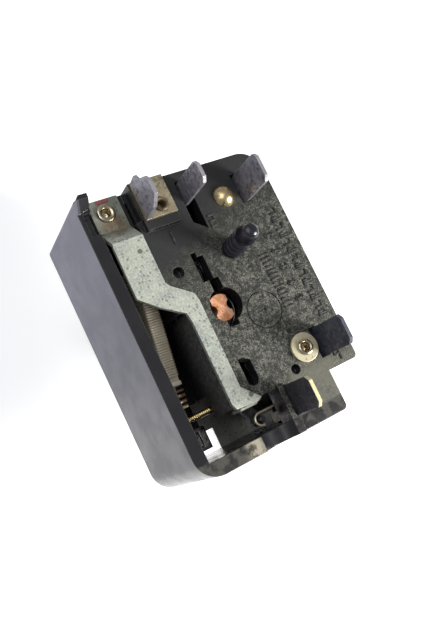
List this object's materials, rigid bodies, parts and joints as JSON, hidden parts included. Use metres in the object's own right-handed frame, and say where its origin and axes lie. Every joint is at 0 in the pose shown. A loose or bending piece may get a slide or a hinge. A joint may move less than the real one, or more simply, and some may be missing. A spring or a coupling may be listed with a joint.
{
  "type": "range heat control switch",
  "caption": "Electric range heat switch: dark moulded case with blade terminals, bimetal cycling contacts, cam, and a push-to-turn D shaft.",
  "frame": {"origin": "shaft axis where it crosses the panel face (the outer face of the front plate)", "axes": "+Z from the panel face toward the terminals, so the knob shaft points to -Z; +Y along the case toward the strap's eyelet end; +X across toward the side with the open corner"},
  "size_m": [0.0436, 0.0586, 0.0607],
  "materials": {
    "phenolic": "dark moulded phenolic, dusty and scuffed on the terminal face",
    "plated_steel": "zinc plated, satin",
    "zinc_rivet": "satin",
    "brass_turned": "turned, slightly dull",
    "steel_shaft": "ground, bright, its end flashed with copper",
    "spring_steel": "blued",
    "spring_wire": "drawn wire",
    "cam_plastic": "natural moulded plastic",
    "contact_silver": "silver contact",
    "tan_plated_tab": "tinned, mottled and tan",
    "tinned_tab": "tinned, mottled lilac grey",
    "dark_tab": "tinned, darkened to blue grey with a worn brass tip",
    "nickel_eyelet": "nickel plated, bright",
    "brass_dome": "polished",
    "straw_washer": "pale straw plating, stained",
    "zinc_strap": "greenish zinc plate with dark specks",
    "bimetal": "heat stained bronze brown",
    "mica_sleeve": "woven glass sleeve, browned by heat",
    "resistance_ribbon": "resistance ribbon, heat stained",
    "bright_steel": "bright plated",
    "phosphor_bronze": "rolled spring strip",
    "brass_strap": "stamped, dull",
    "straw_wire": "pale plated wire",
    "black_nylon": "glossy moulded"
  },
  "bodies": {
    "case": {"housing": "phenolic", "front_plate": "plated_steel", "plate_rivets": "zinc_rivet", "shaft_bushing": "brass_turned", "shaft_spring": "spring_wire", "follower_pin": "steel_shaft", "terminal_1": "tan_plated_tab", "terminal_2": "tinned_tab", "terminal_3": "tinned_tab", "terminal_4": "dark_tab", "terminal_5": "dark_tab", "terminal_1_rivet": "nickel_eyelet", "terminal_3_rivet": "brass_dome", "terminal_4_washer": "straw_washer", "terminal_4_eyelet": "nickel_eyelet", "carrier_strap": "zinc_strap", "carrier_eyelet": "nickel_eyelet", "bimetal_foot": "plated_steel", "stop_bracket": "bright_steel", "line_strap": "brass_strap", "line_fixed_contact": "contact_silver", "line_pin": "steel_shaft", "hook_spring": "straw_wire", "spring_anchor": "steel_shaft", "ribbed_post": "black_nylon", "terminal_numbers": "phenolic"},
    "spring_seat": {"thrust_washer": "plated_steel"},
    "shaft": {"control_shaft": "steel_shaft", "retaining_clip": "spring_steel"},
    "cam": {"heat_cam": "cam_plastic"},
    "follower": {"cam_follower": "plated_steel", "cycling_contact": "contact_silver"},
    "bimetal": {"bimetal_strip": "bimetal", "insulation_sleeve": "mica_sleeve", "heater_winding": "resistance_ribbon"},
    "calibration": {"calibration_screw": "brass_turned"},
    "arm": {"contact_arm": "phosphor_bronze", "moving_contact": "contact_silver"},
    "line": {"line_arm": "bright_steel", "line_contact": "contact_silver"}
  },
  "joints": [
    {"name": "push_in", "type": "slide", "parent": "case", "child": "spring_seat", "axis": [0, 0, 1], "range_m": [0, 0.0025], "stiffness_N_per_m": 800, "springref_m": -0.004, "deforming": ["shaft_spring"]},
    {"name": "shaft_turn", "type": "hinge", "parent": "spring_seat", "child": "shaft", "pos_m": [0, 0, 0], "axis": [0, 0, 1], "range_deg": [0, 300]},
    {"name": "cam_turn", "type": "hinge", "parent": "case", "child": "cam", "pos_m": [0, 0, 0], "axis": [0, 0, 1], "range_deg": [0, 300]},
    {"name": "follower_swing", "type": "hinge", "parent": "case", "child": "follower", "pos_m": [0.0096, 0.0152, 0], "axis": [0, 0, 1], "range_deg": [-6.9, 0]},
    {"name": "bimetal_bend", "type": "hinge", "parent": "case", "child": "bimetal", "pos_m": [-0.012, 0.0211, 0], "axis": [0, 0, 1], "range_deg": [-1.5, 0], "stiffness_Nm_per_rad": 0.3},
    {"name": "arm_flex", "type": "hinge", "parent": "case", "child": "arm", "pos_m": [-0.0055, 0.0091, 0], "axis": [0, 0, 1], "range_deg": [-2.4, 0]},
    {"name": "calibration_turn", "type": "hinge", "parent": "bimetal", "child": "calibration", "pos_m": [-0.0109, -0.0175, 0.013], "axis": [1, 0, 0], "range_deg": [-180, 180]},
    {"name": "line_arm_swing", "type": "hinge", "parent": "case", "child": "line", "pos_m": [-0.0047, -0.0161, 0], "axis": [0, 0, 1], "range_deg": [0, 5], "stiffness_Nm_per_rad": 0.02}
  ],
  "couplings": [
    {"joint": "cam_turn", "follows": "shaft_turn", "ratio": 1},
    {"joint": "follower_swing", "follows": "shaft_turn", "ratio": -0.02262},
    {"joint": "arm_flex", "follows": "bimetal_bend", "ratio": 1.579}
  ]
}
